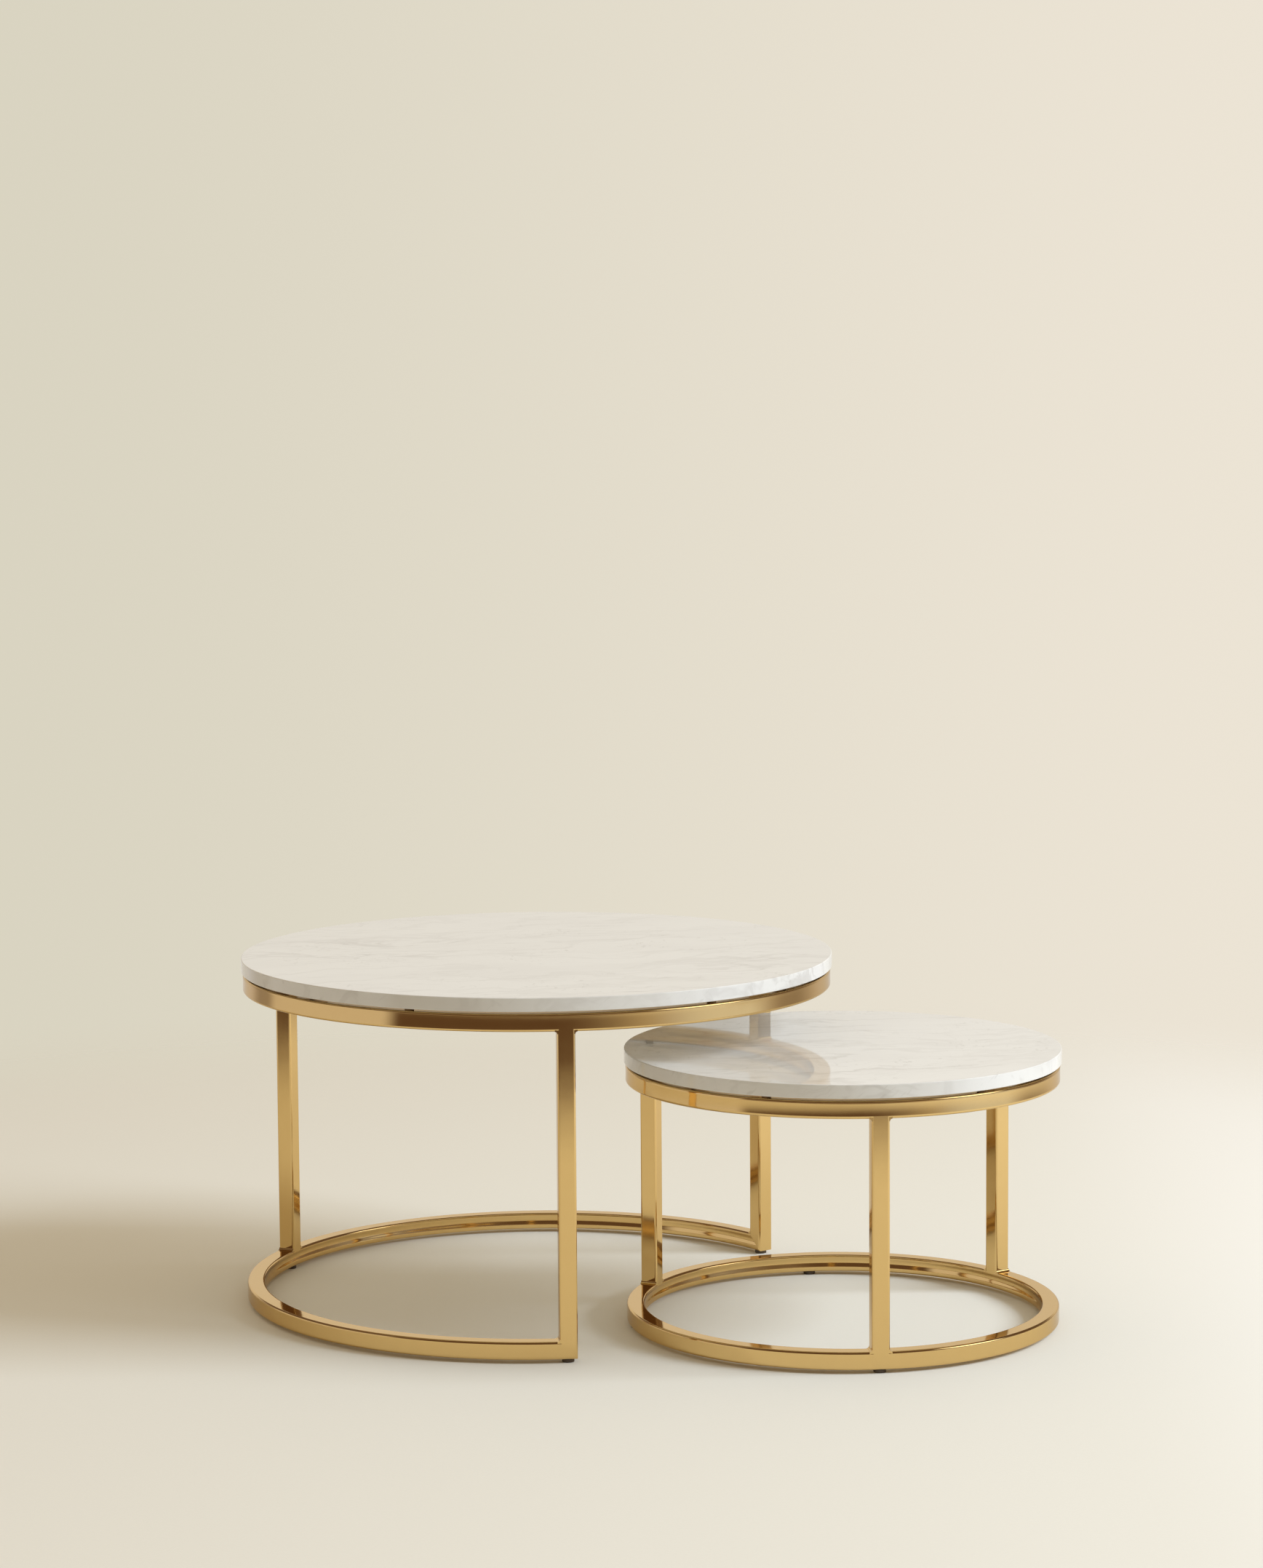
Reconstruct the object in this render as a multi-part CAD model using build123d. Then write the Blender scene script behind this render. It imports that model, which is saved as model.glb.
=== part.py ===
from build123d import *
import os
from math import cos, degrees, radians, sin, tau

# Two round nesting tables: marble tops on square brass tube frames. The large table's base is a C, open
# towards +X, so that the small table slides in under it along X. Millimetres, +Z up, floor at Z = 0.
# The origin is on the floor, in the middle of the pair's outline as the tables stand at rest.

# Square tube of both frames
tube = 23.0
tube_wall = 1.5
tube_corner = 3.0
least_corner = 0.3

# Marble tops
marble_thickness = 18.0
marble_edge = 1.2
marble_overhang = 2.0

# Large table
large_diameter = 800.0
large_leg_length = 398.0

# How the small table fits in: room beside it in the mouth of the C, room above it under the large
# table's top ring, and the distance between the two axes at rest
nest_side_clearance = 31.5
nest_headroom = 58.0
nest_offset = 441.0

# Places round a table's axis in degrees, with left and right as seen from the mouth of the C
full_turn = degrees(tau)
leg_count = 3
bumper_count = 6
leg_step = full_turn / leg_count
leg_angles = {"back": full_turn / 2, "right": leg_step / 2, "left": -leg_step / 2}
between_legs = (0, leg_step, -leg_step)
bumper_angles = [(place + 0.5) * full_turn / bumper_count for place in range(bumper_count)]

# Bumper pads between top ring and marble
bumper_height = 3.0
bumper_diameter = 12.0

# Dark glides pushed into the underside of the base, under the legs of the C and evenly round the full ring
ring_glide_count = 4
glide_height = 5.0
glide_diameter = 16.0
glide_edge = 0.8
glide_stem_diameter = 8.0
glide_stem_length = 6.0
glide_stem_clearance = 0.1

# Tabs welded inside the top ring, halfway between the legs
tab_width = 36.0
tab_reach = 32.0
tab_thickness = 3.0
tab_corner = 8.0
tab_drop = 1.0

# Screws up through the tabs into inserts bonded in the marble
screw_diameter = 6.0
screw_clearance = 0.2
screw_head_diameter = 11.0
screw_head_height = 3.5
screw_socket = 4.0
screw_socket_depth = 2.0
screw_tip_gap = 2.0
thread_clearance = 0.1
washer_diameter = 14.0
washer_thickness = 1.5
insert_wall = 2.0
insert_bond = 0.1
insert_cover = 6.0

# Welds in the corners between legs and rings, and the vent holes that join the bores there
weld_size = 3.0
weld_hollow = 0.4
vent_diameter = 10.0

# Sizes worked out from those above
half_tube = tube / 2
bore = tube - 2 * tube_wall
bore_corner = max(tube_corner - tube_wall, least_corner)
base_top = glide_height + tube
above_legs = tube + bumper_height + marble_thickness
mouth_angle = radians(leg_angles["right"])
large_radius = large_diameter / 2
mouth_half_width = (
    (large_radius - marble_overhang - half_tube) * sin(mouth_angle)
    - half_tube * (sin(mouth_angle) + cos(mouth_angle))
)
small_radius = mouth_half_width - nest_side_clearance
small_leg_length = large_leg_length - nest_headroom - above_legs
large_x = (large_radius - small_radius - nest_offset) / 2
small_x = large_x + nest_offset
insert_length = marble_thickness - insert_cover
upright = (Align.CENTER, Align.CENTER, Align.MIN)


class Table:
    """Heights and radii of one table."""

    def __init__(self, x, radius, leg_length, open_base):
        self.x = x
        self.radius = radius
        self.open_base = open_base
        self.mid_radius = radius - marble_overhang - half_tube
        self.inner_radius = self.mid_radius - half_tube
        self.leg_top = base_top + leg_length
        self.ring_top = self.leg_top + tube
        self.marble_bottom = self.ring_top + bumper_height
        self.tab_bottom = self.ring_top - tube_corner - tab_drop - tab_thickness
        self.screw_radius = self.inner_radius - tab_reach / 2
        self.screw_bottom = self.tab_bottom - washer_thickness

    def mitred(self, angle):
        """Legs at the two ends of the C are joined to it by mitres; the others stand on the base."""
        return self.open_base and abs(angle) == leg_angles["right"]

    def glide_angles(self):
        """Under the legs of the C, and evenly round the full ring, starting under its left leg."""
        if self.open_base:
            return list(leg_angles.values())
        step = full_turn / ring_glide_count
        return [leg_angles["left"] + place * step for place in range(ring_glide_count)]


def around(angles, radius, height, piece):
    """Copies of a piece set round the axis."""
    return [Rot(0, 0, angle) * Pos(radius, 0, height) * piece for angle in angles]


def upright_cylinder(diameter, height):
    return Cylinder(diameter / 2, height, align=upright)


def bent_tube(radius, height, start, sweep):
    """Square tube bent round the axis, with its centre line at this radius and height."""
    place = Plane.XZ * Pos(radius, height)
    outside = revolve(place * RectangleRounded(tube, tube, tube_corner), Axis.Z, sweep)
    inside = revolve(place * RectangleRounded(bore, bore, bore_corner), Axis.Z, sweep)
    return Rot(0, 0, start) * (outside - inside)


def mitre_wedge(table, angle, below):
    """Prism that fills one side of the 45 degree cut between a leg and its end of the C."""
    inward = 1 if angle > 0 else -1
    reach = 2 * tube
    side = 1 if below else -1
    section = Polygon((-reach, -reach), (side * reach, -side * reach), (reach, reach), align=None)
    centre = (table.mid_radius, 0, glide_height + half_tube)
    place = Plane(origin=centre, x_dir=(0, inward, 0), z_dir=(inward, 0, 0))
    return Rot(0, 0, angle) * extrude(place * section, tube, both=True)


def marble_top(table):
    slab = Pos(0, 0, table.marble_bottom) * upright_cylinder(2 * table.radius, marble_thickness)
    slab = fillet(slab.edges().filter_by(GeomType.CIRCLE), marble_edge)
    hole = upright_cylinder(screw_diameter + 2 * (insert_wall + insert_bond), insert_length)
    return slab - around(between_legs, table.screw_radius, table.marble_bottom, hole)


def top_inserts(table):
    body = upright_cylinder(screw_diameter + 2 * insert_wall, insert_length)
    thread = upright_cylinder(screw_diameter + 2 * thread_clearance, insert_length)
    return around(between_legs, table.screw_radius, table.marble_bottom, body - thread)


def bumpers(table):
    pad = upright_cylinder(bumper_diameter, bumper_height)
    return around(bumper_angles, table.mid_radius, table.ring_top, pad)


def top_ring(table):
    ring = bent_tube(table.mid_radius, table.leg_top + half_tube, 0, full_turn)
    vent = upright_cylinder(vent_diameter, 2 * tube_wall)
    return ring - around(leg_angles.values(), table.mid_radius, table.leg_top, vent)


def mounting_tabs(table):
    outer = table.inner_radius + tab_corner
    length = outer - (table.inner_radius - tab_reach)
    plate = extrude(RectangleRounded(length, tab_width, tab_corner), tab_thickness)
    plate = Pos(outer - length / 2, 0, 0) * plate
    plate = plate & upright_cylinder(2 * table.inner_radius, tab_thickness)
    hole = upright_cylinder(screw_diameter + 2 * screw_clearance, tab_thickness)
    plate = plate - Pos(table.screw_radius, 0, 0) * hole
    return around(between_legs, 0, table.tab_bottom, plate)


def tab_washers(table):
    ring = upright_cylinder(washer_diameter, washer_thickness)
    ring = ring - upright_cylinder(screw_diameter + 2 * screw_clearance, washer_thickness)
    return around(between_legs, table.screw_radius, table.screw_bottom, ring)


def tab_screws(table):
    reach = table.marble_bottom + insert_length - screw_tip_gap - table.screw_bottom
    head = Pos(0, 0, -screw_head_height) * upright_cylinder(screw_head_diameter, screw_head_height)
    socket = extrude(RegularPolygon(screw_socket / 2, 6, major_radius=False), screw_socket_depth)
    screw = head + upright_cylinder(screw_diameter, reach) - Pos(0, 0, -screw_head_height) * socket
    return around(between_legs, table.screw_radius, table.screw_bottom, screw)


def leg(table, angle):
    foot = glide_height if table.mitred(angle) else base_top
    length = table.leg_top - foot
    outside = extrude(RectangleRounded(tube, tube, tube_corner), length)
    inside = extrude(RectangleRounded(bore, bore, bore_corner), length)
    post = Rot(0, 0, angle) * Pos(table.mid_radius, 0, foot) * (outside - inside)
    if table.mitred(angle):
        post = post - mitre_wedge(table, angle, below=True)
    return post


def base(table):
    height = glide_height + half_tube
    if table.open_base:
        spare = degrees(tube / table.mid_radius)
        start = leg_angles["right"] - spare
        tube_run = bent_tube(table.mid_radius, height, start, full_turn - 2 * start)
    else:
        tube_run = bent_tube(table.mid_radius, height, 0, full_turn)
    for angle in leg_angles.values():
        if table.mitred(angle):
            tube_run = tube_run - mitre_wedge(table, angle, below=False)
        else:
            vent = upright_cylinder(vent_diameter, 2 * tube_wall)
            tube_run = tube_run - around([angle], table.mid_radius, base_top - 2 * tube_wall, vent)
    socket = upright_cylinder(glide_stem_diameter + 2 * glide_stem_clearance, 2 * tube_wall)
    return tube_run - around(table.glide_angles(), table.mid_radius, glide_height, socket)


def weld_fillet(table, angle, side, height, up):
    """Weld in the corner between one side of a leg and the tube above or below it."""
    hollow = weld_size * weld_hollow
    foot = Line((0, 0), (weld_size, 0))
    face = ThreePointArc((weld_size, 0), (hollow, hollow), (0, weld_size))
    back = Line((0, weld_size), (0, 0))
    corner = (table.mid_radius, side * half_tube, height)
    place = Plane(origin=corner, x_dir=(0, side, 0), z_dir=(side * up, 0, 0))
    bead = extrude(place * make_face([foot, face, back]), half_tube - tube_corner, both=True)
    return Rot(0, 0, angle) * bead


def weld_fillets(table):
    beads = []
    for angle in leg_angles.values():
        for side in (1, -1):
            beads.append(weld_fillet(table, angle, side, table.leg_top, -1))
            end_of_c = table.mitred(angle) and side * angle < 0
            if not end_of_c:
                beads.append(weld_fillet(table, angle, side, base_top, 1))
    return beads


def glides(table):
    disc = upright_cylinder(glide_diameter, glide_height)
    disc = fillet(disc.edges().filter_by(GeomType.CIRCLE).sort_by(Axis.Z)[0], glide_edge)
    stem = Pos(0, 0, glide_height) * upright_cylinder(glide_stem_diameter, glide_stem_length)
    return around(table.glide_angles(), table.mid_radius, 0, disc + stem)


def nodes(table, name, base_name):
    pieces = {
        "marble_top": marble_top(table),
        "top_inserts": top_inserts(table),
        "bumpers": bumpers(table),
        "top_ring": top_ring(table),
        "mounting_tabs": mounting_tabs(table),
        "tab_screws": tab_screws(table),
        "tab_washers": tab_washers(table),
        base_name: base(table),
        "weld_fillets": weld_fillets(table),
        "glides": glides(table),
    }
    for place, angle in leg_angles.items():
        pieces[f"{place}_leg"] = leg(table, angle)
    return {f"{name}_{piece}": shape for piece, shape in pieces.items()}


def save(name, shape, x):
    solids = shape if isinstance(shape, list) else [shape]
    placed = [Pos(x, 0, 0) * solid for solid in solids]
    export_step(placed[0] if len(placed) == 1 else Compound(children=placed), f"parts/{name}.step")


os.makedirs("parts", exist_ok=True)
large = Table(large_x, large_radius, large_leg_length, open_base=True)
small = Table(small_x, small_radius, small_leg_length, open_base=False)
for name, shape in nodes(large, "large", "base_arc").items():
    save(name, shape, large.x)
for name, shape in nodes(small, "small", "base_ring").items():
    save(name, shape, small.x)
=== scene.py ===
from math import cos, radians, sin, tau

import bmesh
import bpy
from mathutils import Matrix, Vector


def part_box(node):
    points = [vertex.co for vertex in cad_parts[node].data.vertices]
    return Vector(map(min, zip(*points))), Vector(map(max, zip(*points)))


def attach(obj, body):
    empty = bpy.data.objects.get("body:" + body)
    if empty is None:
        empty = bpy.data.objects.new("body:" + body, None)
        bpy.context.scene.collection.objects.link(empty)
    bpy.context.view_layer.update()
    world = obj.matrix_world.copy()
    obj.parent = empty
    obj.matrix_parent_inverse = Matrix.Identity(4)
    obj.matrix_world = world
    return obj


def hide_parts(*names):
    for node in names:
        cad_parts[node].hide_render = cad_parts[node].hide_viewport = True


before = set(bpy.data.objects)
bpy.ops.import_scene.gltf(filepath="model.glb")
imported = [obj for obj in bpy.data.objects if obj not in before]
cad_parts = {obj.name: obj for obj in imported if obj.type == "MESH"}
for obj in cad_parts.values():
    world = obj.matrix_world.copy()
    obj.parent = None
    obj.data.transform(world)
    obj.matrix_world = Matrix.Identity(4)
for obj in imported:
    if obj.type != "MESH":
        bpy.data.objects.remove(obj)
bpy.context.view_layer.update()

# Glides: dark moulded plastic discs, each with a stem that is pushed up into a hole in the base tube.
# They stand under the legs of the C and evenly round the full ring, and carry the tables.
tables = ("large", "small")
table_axes = {}
tube_middles = {}
for table in tables:
    low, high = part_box(f"{table}_top_ring")
    table_axes[table] = Vector(((low.x + high.x) / 2, (low.y + high.y) / 2, 0))
    tube_width = high.z - low.z
    tube_middles[table] = min(high.x - low.x, high.y - low.y) / 2 - tube_width / 2

full_turn = 360
leg_angles = {"back": 180, "right": 60, "left": -60}
ring_glide_count = 4
ring_glide_step = full_turn / ring_glide_count
glide_angles = {
    "large": list(leg_angles.values()),
    "small": [leg_angles["left"] + place * ring_glide_step for place in range(ring_glide_count)],
}
glide_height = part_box("large_base_arc")[0].z
glide_radius = 0.008
glide_ease = 0.0008
glide_ease_steps = 4
glide_steps = 40
stem_radius = 0.004
stem_height = 0.006
stem_top = glide_height + stem_height
glide_brown = (0.07, 0.048, 0.03, 1)
scuffed_brown = (0.105, 0.08, 0.055, 1)
merge_distance = 1e-6
sharp_angle = radians(40)


def place_on(table, angle, radius, height=0):
    """Point at this angle, radius and height round a table's axis."""
    turn = radians(angle)
    return table_axes[table] + Vector((radius * cos(turn), radius * sin(turn), height))


def profile(bm, points):
    """Open line through points given as (radius, height) in the X-Z plane."""
    verts = [bm.verts.new((radius, 0, height)) for radius, height in points]
    edges = [bm.edges.new(pair) for pair in zip(verts, verts[1:])]
    return verts + edges


def round_corners(bm, corners, size, steps):
    """Rounds corners of an outline."""
    bmesh.ops.bevel(bm, geom=corners, affect="VERTICES", offset=size, segments=steps, profile=0.5,
                    material=-1)


def lathe(bm, steps):
    """Turns a profile once round the Z axis."""
    bmesh.ops.spin(bm, geom=bm.verts[:] + bm.edges[:], cent=(0, 0, 0), axis=(0, 0, 1), angle=tau,
                   steps=steps, use_merge=True)


def join_into(group, shape):
    """Adds a finished shape to a group of like shapes."""
    mesh = bpy.data.meshes.new("one_of_group")
    shape.to_mesh(mesh)
    shape.free()
    group.from_mesh(mesh)
    bpy.data.meshes.remove(mesh)


class Shade:
    """A socket in a node tree. Arithmetic on it adds Math nodes, and node() adds any other kind."""

    def __init__(self, tree, socket=None):
        self.tree = tree
        self.socket = socket

    def node(self, kind, settings=None, inputs=None, output=0):
        """Adds a node with its settings and the values or links of its sockets, and gives one output."""
        made = self.tree.nodes.new(kind)
        for name, value in (settings or {}).items():
            setattr(made, name, value)
        for name, value in (inputs or {}).items():
            if isinstance(value, Shade):
                self.tree.links.new(value.socket, made.inputs[name])
            else:
                made.inputs[name].default_value = value
        return Shade(self.tree, made.outputs[output]) if made.outputs else None

    def maths(self, operation, *values):
        return self.node("ShaderNodeMath", {"operation": operation}, dict(enumerate(values)))

    def __add__(self, other):
        return self.maths("ADD", self, other)

    __radd__ = __add__

    def __sub__(self, other):
        return self.maths("SUBTRACT", self, other)

    def __rsub__(self, other):
        return self.maths("SUBTRACT", other, self)

    def __mul__(self, other):
        return self.maths("MULTIPLY", self, other)

    __rmul__ = __mul__

    def __abs__(self):
        return self.maths("ABSOLUTE", self)

    def noise(self, scale, detail=2.0, roughness=0.5, output="Fac"):
        inputs = {"Vector": self, "Scale": scale, "Detail": detail, "Roughness": roughness}
        return self.node("ShaderNodeTexNoise", None, inputs, output)

    def dot(self, way):
        """How far these coordinates reach in a direction."""
        return self.node("ShaderNodeVectorMath", {"operation": "DOT_PRODUCT"}, {0: self, 1: way}, "Value")

    def step(self, start, end):
        """0 below start, 1 above end, smooth between."""
        settings = {"interpolation_type": "SMOOTHSTEP"}
        inputs = {"Value": self, "From Min": start, "From Max": end}
        return self.node("ShaderNodeMapRange", settings, inputs)

    def between(self, first, second):
        """Colour that goes from first to second as this value goes from 0 to 1."""
        return self.node("ShaderNodeMix", {"data_type": "RGBA"}, {0: self, 6: first, 7: second}, 2)

    def bump(self, strength, distance):
        """Normal of a surface that has this value as its height."""
        inputs = {"Height": self, "Strength": strength, "Distance": distance}
        return self.node("ShaderNodeBump", None, inputs)


def start_finish(name):
    """New material, with its Object coordinates as the socket to build on."""
    material = bpy.data.materials.new(name)
    material.use_nodes = True
    material.node_tree.nodes.clear()
    return material, Shade(material.node_tree).node("ShaderNodeTexCoord", output="Object")


def end_finish(coords, values):
    """Surface of a material, with the values or sockets that its shader takes."""
    shader = coords.node("ShaderNodeBsdfPrincipled", None, values)
    coords.node("ShaderNodeOutputMaterial", None, {"Surface": shader})


def make_piece(name, bm, table, node, finish):
    """Turns a bmesh into the piece that stands for a CAD node of one table."""
    bmesh.ops.remove_doubles(bm, verts=bm.verts, dist=merge_distance)
    bmesh.ops.recalc_face_normals(bm, faces=bm.faces)
    mesh = bpy.data.meshes.new(name)
    bm.to_mesh(mesh)
    bm.free()
    mesh.shade_smooth()
    mesh.set_sharp_from_angle(angle=sharp_angle)
    mesh.materials.append(finish)
    piece = bpy.data.objects.new(name, mesh)
    bpy.context.scene.collection.objects.link(piece)
    flats = piece.modifiers.new("flat faces stay flat", "WEIGHTED_NORMAL")
    flats.weight = 100
    flats.keep_sharp = True
    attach(piece, f"{table}_table")
    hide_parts(node)


glide_plastic, coords = start_finish("dark_glide_plastic")
moulding = coords.noise(900, detail=3)
scuffs = coords.noise(140, detail=4).step(0.5, 0.75)
end_finish(coords, {
    "Base Color": scuffs.between(glide_brown, scuffed_brown),
    "Roughness": 0.55 + 0.2 * scuffs,
    "Normal": moulding.bump(strength=0.15, distance=0.0004),
})

for table, angles in glide_angles.items():
    glides = bmesh.new()
    for angle in angles:
        disc = bmesh.new()
        outline = profile(disc, (
            (0, 0),
            (glide_radius, 0),
            (glide_radius, glide_height),
            (stem_radius, glide_height),
            (stem_radius, stem_top),
            (0, stem_top),
        ))
        round_corners(disc, [outline[1]], glide_ease, glide_ease_steps)
        lathe(disc, glide_steps)
        bmesh.ops.translate(disc, verts=disc.verts, vec=place_on(table, angle, tube_middles[table]))
        join_into(glides, disc)
    make_piece(f"{table}_floor_glides", glides, table, f"{table}_glides", glide_plastic)

# Bases: square brass tube bent round the table's axis, a full ring under the small table and a C under
# the large one. The two ends of the C are cut at 45 degrees, to meet the legs there in mitres that are
# ground and polished.
tube_corner = 0.003
tube_corner_steps = 6
base_middle = glide_height + tube_width / 2
base_top = glide_height + tube_width
ring_steps = 288
arc_steps = 248
upward = Vector((0, 0, 1))

# Bending draws the walls in: the outer one evenly, the inner one in its upper half. The inner wall's hollow
# rises and falls again between these heights, where -1 and 1 are the lower and upper end of its flat part.
outer_hollow = 0.00013
inner_hollow = 0.0015
inner_hollow_rise = (-0.7, 0.15)
inner_hollow_fall = (0.4, 1.0)
hollow_cuts = 17

# The C is bent a little longer than it needs to be, and each mitre cuts its end off.
mouth_angle = leg_angles["right"]
spare_angle = 4
mitre_reach = 0.3

pale_brass = (0.77, 0.545, 0.235, 1)
deep_brass = (0.71, 0.485, 0.20, 1)
brass_at_grazing = (0.80, 0.75, 0.70, 1)

frame_brass, coords = start_finish("polished_brass")
cloud = coords.noise(9, detail=3)
haze = coords.noise(60, detail=4, roughness=0.6)
grain = coords.noise(1400)
wave = coords.noise(24, detail=1)
tint = 0.35 * cloud + 0.4 * haze
end_finish(coords, {
    "Base Color": tint.between(pale_brass, deep_brass),
    "Metallic": 1.0,
    "Roughness": 0.05 + 0.05 * haze,
    "Specular Tint": brass_at_grazing,
    "Normal": (wave + 0.02 * grain).bump(strength=0.1, distance=0.0006),
})


def ease(value, start, end):
    """0 below start, 1 above end, smooth between."""
    part = min(max((value - start) / (end - start), 0), 1)
    return part * part * (3 - 2 * part)


def turned(angle, way):
    """Direction turned round the Z axis."""
    return Matrix.Rotation(radians(angle), 3, "Z") @ Vector(way)


def verts_in(geom):
    return [item for item in geom if isinstance(item, bmesh.types.BMVert)]


def edges_in(geom):
    return [item for item in geom if isinstance(item, bmesh.types.BMEdge)]


def tube_section(bm, centre, across, up, bent=False):
    """Rounded square outline of the tube, standing on two directions, as loose edges. The walls of a bent
    tube are drawn in."""
    bmesh.ops.create_grid(bm, x_segments=1, y_segments=1, size=tube_width / 2)
    round_corners(bm, bm.verts[:], tube_corner, tube_corner_steps)
    bmesh.ops.delete(bm, geom=bm.faces[:], context="FACES_ONLY")
    if bent:
        flat_half = tube_width / 2 - tube_corner
        walls = [edge for edge in bm.edges if edge.calc_length() > flat_half
                 and all(abs(vert.co.x) > flat_half for vert in edge.verts)]
        cuts = bmesh.ops.subdivide_edges(bm, edges=walls, cuts=hollow_cuts)["geom_inner"]
        for vert in verts_in(cuts):
            level = vert.co.y / flat_half
            if vert.co.x < 0:
                drawn_in = ease(level, *inner_hollow_rise) * (1 - ease(level, *inner_hollow_fall))
                vert.co.x += inner_hollow * drawn_in
            else:
                vert.co.x -= outer_hollow * (1 - level ** 2)
    along = across.cross(up)
    turn = Matrix((across, up, along)).transposed().to_4x4()
    bmesh.ops.transform(bm, matrix=Matrix.Translation(centre) @ turn, verts=bm.verts)


def bent_tube(table, height, steps, start=0, sweep=full_turn):
    """Square tube bent round a table's axis."""
    bm = bmesh.new()
    centre = place_on(table, start, tube_middles[table], height)
    tube_section(bm, centre, turned(start, (1, 0, 0)), upward, bent=True)
    bmesh.ops.spin(bm, geom=bm.verts[:] + bm.edges[:], cent=table_axes[table], axis=(0, 0, 1),
                   angle=radians(sweep), steps=steps, use_merge=sweep == full_turn)
    return bm


def cut_mitre(bm, table, angle, keep_leg):
    """45 degree cut through the corner where a leg meets its end of the C, closed again with a flat face."""
    inward = turned(angle, (0, 1 if angle > 0 else -1, 0))
    normal = (inward - upward) * (1 if keep_leg else -1)
    corner = place_on(table, angle, tube_middles[table], base_middle)
    near = [face for face in bm.faces if (face.calc_center_median() - corner).length < mitre_reach]
    around = {item for face in near for item in (face, *face.edges, *face.verts)}
    cut = bmesh.ops.bisect_plane(bm, geom=list(around), plane_co=corner, plane_no=normal, clear_outer=True)
    bmesh.ops.edgeloop_fill(bm, edges=edges_in(cut["geom_cut"]))


small_base = bent_tube("small", base_middle, ring_steps)
make_piece("small_bent_base", small_base, "small", "small_base_ring", frame_brass)

arc_start = mouth_angle - spare_angle
large_base = bent_tube("large", base_middle, arc_steps, arc_start, full_turn - 2 * arc_start)
for angle in (mouth_angle, -mouth_angle):
    cut_mitre(large_base, "large", angle, keep_leg=False)
make_piece("large_bent_base", large_base, "large", "large_base_arc", frame_brass)

# Legs: straight lengths of the same square brass tube. They are welded between base and top ring and ground
# flush with both, so each runs a little way into the rounded corners of the ring above and the base below.
grind_depth = 0.0004
flush_run = tube_corner + grind_depth


def raise_walls(bm, outline, height):
    """Walls raised from a closed outline, with a flat face on top."""
    run = bmesh.ops.extrude_edge_only(bm, edges=outline)["geom"]
    lifted = verts_in(run)
    bmesh.ops.translate(bm, verts=lifted, vec=(0, 0, height))
    rim = [edge for edge in edges_in(run) if all(vert in lifted for vert in edge.verts)]
    bmesh.ops.edgeloop_fill(bm, edges=rim)


for table in tables:
    ring_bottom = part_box(f"{table}_top_ring")[0].z
    for side, angle in leg_angles.items():
        mitred = table == "large" and side != "back"
        foot = 0 if mitred else base_top - flush_run
        post = bmesh.new()
        outward = turned(angle, (1, 0, 0))
        tube_section(post, place_on(table, angle, tube_middles[table], foot), outward, upward.cross(outward))
        if not mitred:
            bmesh.ops.edgeloop_fill(post, edges=post.edges[:])
        raise_walls(post, post.edges[:], ring_bottom + flush_run - foot)
        if mitred:
            cut_mitre(post, table, angle, keep_leg=True)
        make_piece(f"{table}_{side}_post", post, table, f"{table}_{side}_leg", frame_brass)

# Top rings: square brass tube bent to a full circle and welded on top of the three legs.
# The marble lies on it, with thin pads between.
for table in tables:
    low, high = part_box(f"{table}_top_ring")
    ring = bent_tube(table, (low.z + high.z) / 2, ring_steps)
    make_piece(f"{table}_bent_top_ring", ring, table, f"{table}_top_ring", frame_brass)

# Welds: small hollow fillets of brass in the corners between the legs and the tubes above and below them,
# ground flush on the outside and polished with the frame.
weld_size = 0.003
weld_half_width = tube_width / 2 - grind_depth
weld_steps = 6


def weld_bead():
    """Fillet that lies along Y in the corner between X and Z, with its back sunk into both tubes."""
    bead = bmesh.new()
    start = bead.verts.new((weld_size, -weld_half_width, 0))
    bmesh.ops.spin(bead, geom=[start], cent=(weld_size, 0, weld_size), axis=(0, 1, 0), angle=tau / 4,
                   steps=weld_steps)
    hollow = bead.verts[:]
    sunk = ((-flush_run, weld_size), (-flush_run, -flush_run), (weld_size, -flush_run))
    back = [hollow[-1], *(bead.verts.new((x, -weld_half_width, z)) for x, z in sunk), hollow[0]]
    for pair in zip(back, back[1:]):
        bead.edges.new(pair)
    bmesh.ops.edgeloop_fill(bead, edges=bead.edges[:])
    run = bmesh.ops.extrude_face_region(bead, geom=bead.faces[:], use_keep_orig=True)["geom"]
    bmesh.ops.translate(bead, verts=verts_in(run), vec=(0, 2 * weld_half_width, 0))
    return bead


for table in tables:
    ring_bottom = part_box(f"{table}_top_ring")[0].z
    welds = bmesh.new()
    for angle in leg_angles.values():
        outward = turned(angle, (1, 0, 0))
        for side in (1, -1):
            away = upward.cross(outward) * side
            open_end = table == "large" and abs(angle) == mouth_angle and angle * side < 0
            for height, up in ((ring_bottom, -1), (base_top, 1)):
                if open_end and up == 1:
                    continue
                bead = weld_bead()
                turn = Matrix((away, outward, upward * up)).transposed().to_4x4()
                corner = place_on(table, angle, tube_middles[table], height) + away * tube_width / 2
                bmesh.ops.transform(bead, matrix=Matrix.Translation(corner) @ turn, verts=bead.verts)
                join_into(welds, bead)
    make_piece(f"{table}_ground_welds", welds, table, f"{table}_weld_fillets", frame_brass)

# Mounting tabs: flat brass plates with round inner corners, welded inside the top ring between the legs.
# Each has a hole for one of the screws that hold the marble.


def give_finish(kind, finish):
    """Material for pieces of both tables that keep their CAD shape."""
    for table in tables:
        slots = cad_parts[f"{table}_{kind}"].data.materials
        slots.clear()
        slots.append(finish)


give_finish("mounting_tabs", frame_brass)

# Screws and washers: zinc-plated steel, driven up through the tabs from below with a hexagon key.
# They pull the marble down onto its pads.
zinc_grey = (0.60, 0.60, 0.61, 1)
stained_grey = (0.44, 0.43, 0.41, 1)

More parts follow.
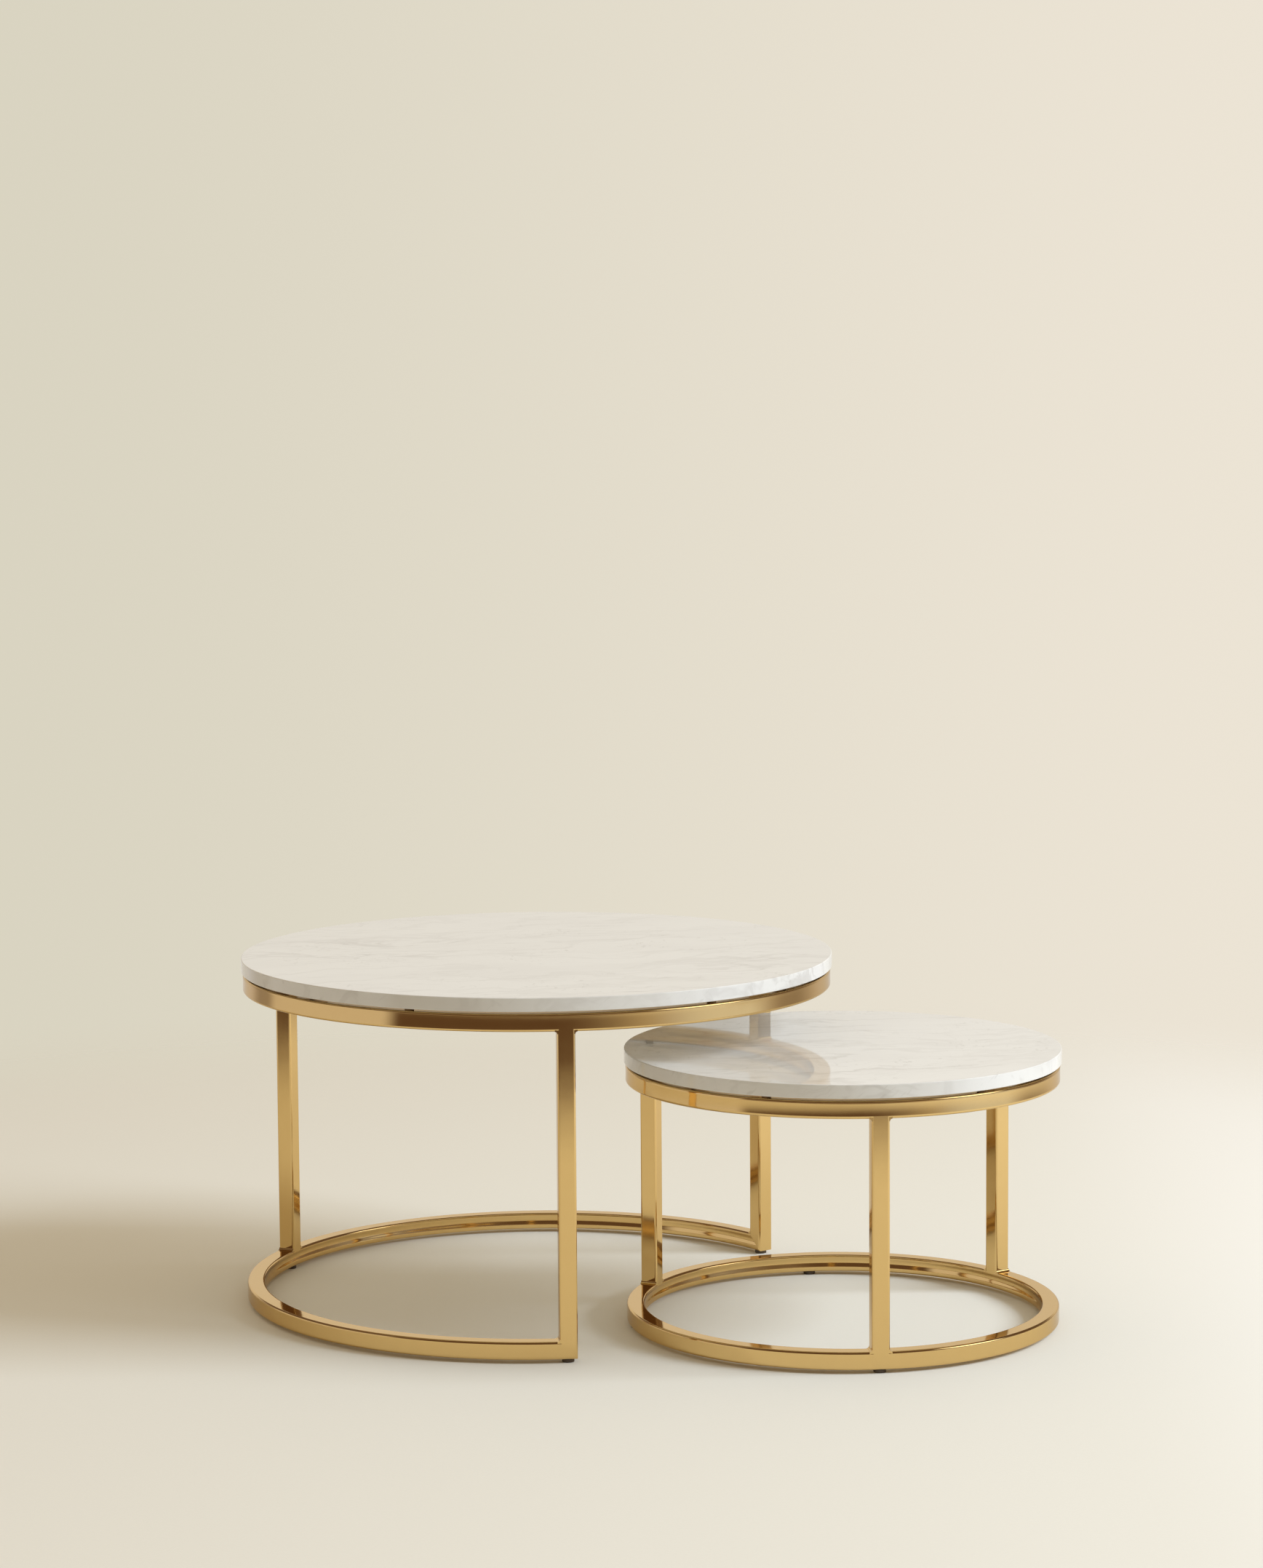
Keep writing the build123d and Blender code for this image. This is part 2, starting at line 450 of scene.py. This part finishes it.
fastener_steel, coords = start_finish("zinc_plated_steel")
plating = coords.noise(700, detail=3)
stain = coords.noise(90, detail=4).step(0.45, 0.8)
end_finish(coords, {
    "Base Color": stain.between(zinc_grey, stained_grey),
    "Metallic": 1.0,
    "Roughness": 0.3 + 0.2 * plating + 0.1 * stain,
    "Normal": plating.bump(strength=0.1, distance=0.0003),
})
give_finish("tab_screws", fastener_steel)
give_finish("tab_washers", fastener_steel)

# Inserts: turned brass bushes with a thread inside, bonded into blind holes in the underside of the marble.
# The screws go up into them.
fresh_brass = (0.72, 0.52, 0.25, 1)
tarnished_brass = (0.55, 0.38, 0.18, 1)

insert_brass, coords = start_finish("turned_brass")
tarnish = coords.noise(120, detail=3).step(0.4, 0.75)
turning = coords.noise(1600)
end_finish(coords, {
    "Base Color": tarnish.between(fresh_brass, tarnished_brass),
    "Metallic": 1.0,
    "Roughness": 0.3 + 0.15 * tarnish,
    "Normal": turning.bump(strength=0.1, distance=0.0003),
})
give_finish("top_inserts", insert_brass)

# Bumper pads: thin round pads of brown rubber, stuck on the top ring. They keep the marble off the metal
# and leave the narrow dark line that shows all round under the slab.
rubber_brown = (0.34, 0.23, 0.12, 1)
dusty_brown = (0.40, 0.28, 0.16, 1)

bumper_rubber, coords = start_finish("brown_rubber")
dust = coords.noise(220, detail=4).step(0.45, 0.8)
skin = coords.noise(1800)
end_finish(coords, {
    "Base Color": dust.between(rubber_brown, dusty_brown),
    "Roughness": 0.75 + 0.15 * dust,
    "Normal": skin.bump(strength=0.2, distance=0.0003),
})
give_finish("bumpers", bumper_rubber)

# Tops: round slabs of white marble, sawn, turned and polished, with eased edges and faint warm-grey veins.
# Blind holes in the underside hold the inserts.
marble_ease = 0.0012
marble_ease_steps = 5
marble_steps = 360
underside_lip = 0.01
insert_angles = (0, 120, -120)
insert_bond = 0.0001
insert_hole_radius = 0.0051
insert_hole_depth = 0.012
insert_hole_steps = 32
white_stone = (0.785, 0.785, 0.765, 1)
clouded_stone = (0.74, 0.735, 0.715, 1)
fleck_grey = (0.46, 0.44, 0.41, 1)
vein_grey = (0.50, 0.48, 0.45, 1)
drift_reach = (0.22, 0.22, 0.22)


def drawn_out(coords, turn, lengths):
    """Coordinates of a pattern that is turned and drawn out, as the layers of the stone are."""
    inputs = {"Vector": coords, "Rotation": turn, "Scale": lengths}
    return coords.node("ShaderNodeMapping", {"vector_type": "TEXTURE"}, inputs)


marble, coords = start_finish("polished_white_marble")
swirl = coords.noise(3.2, detail=4, roughness=0.6, output="Color")
drift = coords.node("ShaderNodeVectorMath", {"operation": "MULTIPLY_ADD"}, {
    0: swirl, 1: drift_reach, 2: coords,
})
bedding = drawn_out(drift, turn=(0.25, 0.2, radians(38)), lengths=(1.0, 0.28, 0.5))
seams = drawn_out(coords, turn=(0.4, 0.3, radians(36)), lengths=(0.11, 0.014, 0.022))
slant = drawn_out(coords, turn=(0.0, radians(-40), radians(23)), lengths=(0.028, 0.02, 0.005))
broad = abs(bedding.noise(2.6, detail=5, roughness=0.55) - 0.5)
fine = abs(bedding.noise(7.0, detail=4, roughness=0.55) - 0.5)
patches = coords.noise(2.4).step(0.42, 0.68)
clouds = bedding.noise(3.5, detail=5, roughness=0.6).step(0.35, 0.75)
flecks = seams.noise(1.0, detail=3).step(0.6, 0.76)
strokes = slant.noise(1.0).step(0.58, 0.74) * coords.noise(9).step(0.48, 0.62)
broad_veins = (1 - broad.step(0.0, 0.035)) * (0.3 + 0.7 * patches)
fine_veins = (1 - fine.step(0.0, 0.025)) * patches
veins = broad_veins + 0.5 * fine_veins
crystals = coords.noise(520)
stone = clouds.between(white_stone, clouded_stone)
flecked = (0.3 * flecks + 0.3 * strokes).between(stone, fleck_grey)
end_finish(coords, {
    "Base Color": (0.55 * veins).between(flecked, vein_grey),
    "Roughness": 0.015 + 0.02 * crystals + 0.03 * veins,
    "IOR": 1.5,
    "Normal": crystals.bump(strength=0.02, distance=0.0002),
})

for table in tables:
    low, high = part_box(f"{table}_marble_top")
    axis = table_axes[table]
    radius = min(high.x - axis.x, axis.x - low.x, high.y - axis.y, axis.y - low.y)
    lip = radius * (1 - underside_lip)
    slab = bmesh.new()
    outline = profile(slab, ((0, high.z), (radius, high.z), (radius, low.z), (lip, low.z)))
    round_corners(slab, outline[1:3], marble_ease, marble_ease_steps)
    lathe(slab, marble_steps)
    bmesh.ops.translate(slab, verts=slab.verts, vec=axis)
    bmesh.ops.remove_doubles(slab, verts=slab.verts, dist=merge_distance)
    rim = [edge for edge in slab.edges if edge.is_boundary]
    insert_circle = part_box(f"{table}_top_inserts")[1].x - axis.x - (insert_hole_radius - insert_bond)
    holes = []
    for angle in insert_angles:
        centre = place_on(table, angle, insert_circle, low.z)
        circle = bmesh.ops.create_circle(slab, segments=insert_hole_steps, radius=insert_hole_radius,
                                         matrix=Matrix.Translation(centre))["verts"]
        holes.append(list({edge for vert in circle for edge in vert.link_edges}))
    bmesh.ops.triangle_fill(slab, use_beauty=True, edges=rim + [edge for hole in holes for edge in hole])
    for hole in holes:
        raise_walls(slab, hole, insert_hole_depth)
    make_piece(f"{table}_marble_slab", slab, table, f"{table}_marble_top", marble)

# Studio: a pale cream paper floor that fades into the room round it, one large soft lamp high on the right,
# and the camera in front, a little to the right of the large table and above both tops.
camera_place = Vector((2.0336, -4.7588, 1.2397))
camera_tilt = radians(90 - 5.904)
camera_turn = radians(23.367)
camera_roll = radians(-0.398)
view = bpy.data.cameras.new("view")
view.sensor_fit = "HORIZONTAL"
view.sensor_width = 36.0
view.lens = 111.12
camera = bpy.data.objects.new("view", view)
camera.location = camera_place
camera.rotation_euler = (Matrix.Rotation(camera_turn, 3, "Z") @ Matrix.Rotation(camera_tilt, 3, "X")
                         @ Matrix.Rotation(camera_roll, 3, "Z")).to_euler()
bpy.context.scene.collection.objects.link(camera)
bpy.context.scene.camera = camera
to_right = Vector((cos(camera_turn), sin(camera_turn), 0))
to_front = Vector((sin(camera_turn), -cos(camera_turn), 0))

paper_radius = 2.8
paper_steps = 128
fade_start = 1.55
fade_end = 2.65
# The last cream is painted light: the paper's colour turns lighter and cooler towards the lamp's side.
cream = (0.79, 0.79, 0.745, 1)
fibre_cream = (0.82, 0.82, 0.775, 1)
painted_lamp_light_cream = (0.865, 0.87, 0.85, 1)

paper, coords = start_finish("cream_paper")
distance = coords.node("ShaderNodeVectorMath", {"operation": "LENGTH"}, {0: coords}, "Value")
# Painted light: this mask lightens the paper's colour on the lamp's side, as if the lamp lit it more there.
painted_lamp_light = coords.dot(to_right).step(0.5, 1.0)
fibre = coords.noise(260, detail=4)
paper_shader = coords.node("ShaderNodeBsdfPrincipled", None, {
    "Base Color": painted_lamp_light.between(fibre.between(cream, fibre_cream), painted_lamp_light_cream),
    "Roughness": 0.85,
    "Specular IOR Level": 0.2,
})
clear = coords.node("ShaderNodeBsdfTransparent")
fade = distance.step(fade_start, fade_end)
faded = coords.node("ShaderNodeMixShader", None, {0: fade, 1: paper_shader, 2: clear})
coords.node("ShaderNodeOutputMaterial", None, {"Surface": faded})
sheet = bmesh.new()
bmesh.ops.create_circle(sheet, cap_ends=True, segments=paper_steps, radius=paper_radius)
sheet_mesh = bpy.data.meshes.new("paper_floor")
sheet.to_mesh(sheet_mesh)
sheet.free()
sheet_mesh.materials.append(paper)
floor = bpy.data.objects.new("paper_floor", sheet_mesh)
bpy.context.scene.collection.objects.link(floor)

key_height = radians(34)
key_bearing = radians(13)
key_distance = 8.0
key_way = (to_right * cos(key_bearing) + to_front * sin(key_bearing)) * cos(key_height)
key_way.z = sin(key_height)
key_place = key_way * key_distance
lamp = bpy.data.lights.new("key_lamp", "AREA")
lamp.size = 3.5
lamp.energy = 608
lamp.color = (0.813, 0.90, 1.0)
key_lamp = bpy.data.objects.new("key_lamp", lamp)
key_lamp.location = key_place
key_lamp.rotation_euler = (-key_place).to_track_quat("-Z", "Y").to_euler()
key_lamp.visible_glossy = False
bpy.context.scene.collection.objects.link(key_lamp)

room = bpy.data.worlds.new("studio_room")
bpy.context.scene.world = room
room.use_nodes = True
room.node_tree.nodes.clear()
air = Shade(room.node_tree)
direction = air.node("ShaderNodeTexCoord", output="Generated")
rightward = direction.dot(to_right)
frontward = direction.dot(to_front)
height = direction.dot(upward)
bearing = air.maths("ARCTAN2", rightward, frontward)


def lobe(start, full, fade, end):
    """1 between two bearings in degrees, with soft ends. 0 is towards the camera and 90 to its right."""
    return bearing.step(radians(start), radians(full)) * (1 - bearing.step(radians(fade), radians(end)))


# What the camera sees behind the floor: a cream wall, lighter on the lamp's side.
wall_left = (0.692, 0.653, 0.53, 1)
wall_right = (0.842, 0.778, 0.667, 1)
wall = rightward.step(-0.2, 0.2).between(wall_left, wall_right)

# What the polished surfaces mirror: pale walls with dark brown gaps between them, a dark ceiling and the
# lamp. The gaps give the brass its bands.
brown = (0.13, 0.079, 0.052, 1)
side_grey = (0.74, 0.70, 0.70, 1)
cool_white = (0.82, 0.86, 0.97, 1)
back_low = (0.78, 0.74, 0.665, 1)
back_high = (0.92, 0.88, 0.795, 1)
horizon_cream = (0.80, 0.74, 0.64, 1)
lamp_white = (2.6, 2.7, 2.8, 1)
side_walls = lobe(-60, -40, 40, 60).between(side_grey, wall)
side_walls = lobe(40, 65, 90, 110).between(side_walls, cool_white)
back_wall = height.step(0.15, 0.2).between(back_low, back_high)
mirror = frontward.step(-0.9, -0.8).between(back_wall, side_walls)
gap_left = 0.55 * lobe(-148, -134, -128, -119)
gap_right = 0.62 * lobe(90, 114, 120, 148)
gap_front = lobe(-61, -52, 8, 78)
for gap in (gap_left, gap_right, gap_front):
    mirror = gap.between(mirror, brown)
horizon = height.step(-0.1, -0.03) * (1 - height.step(0.03, 0.1)) * lobe(-60, -50, 50, 60)
mirror = (0.8 * horizon).between(mirror, horizon_cream)
ceiling = 0.92 * height.step(0.28, 0.4)
lamp_surround = 0.7 * lobe(20, 40, 130, 150) * height.step(0.0, 0.1)
for gap in (ceiling, lamp_surround):
    mirror = gap.between(mirror, brown)
mirror = direction.dot(key_way).step(0.93, 0.985).between(mirror, lamp_white)

# What lights the matt surfaces: warm light from behind, strongest low down, and less from the front.
back_glow_low = (1.65, 1.30, 0.88, 1)
back_glow_high = (0.66, 0.55, 0.395, 1)
front_glow = (0.41, 0.337, 0.24, 1)
ground_glow = (0.25, 0.205, 0.14, 1)
ambient = height.step(0.0, 0.5).between(back_glow_low, back_glow_high)
ambient = frontward.step(-0.2, 0.7).between(ambient, front_glow)
ambient = height.step(0.0, 0.18).between(ground_glow, ambient)

is_mirrored = air.node("ShaderNodeLightPath", output="Is Glossy Ray")
is_seen = air.node("ShaderNodeLightPath", output="Is Camera Ray")
is_seen = air.maths("MAXIMUM", is_seen, air.node("ShaderNodeLightPath", output="Is Transmission Ray"))
colour = is_seen.between(is_mirrored.between(ambient, mirror), wall)
glow = air.node("ShaderNodeBackground", None, {"Color": colour, "Strength": 1.0})
air.node("ShaderNodeOutputWorld", None, {"Surface": glow})
bpy.context.scene.view_settings.view_transform = "Standard"
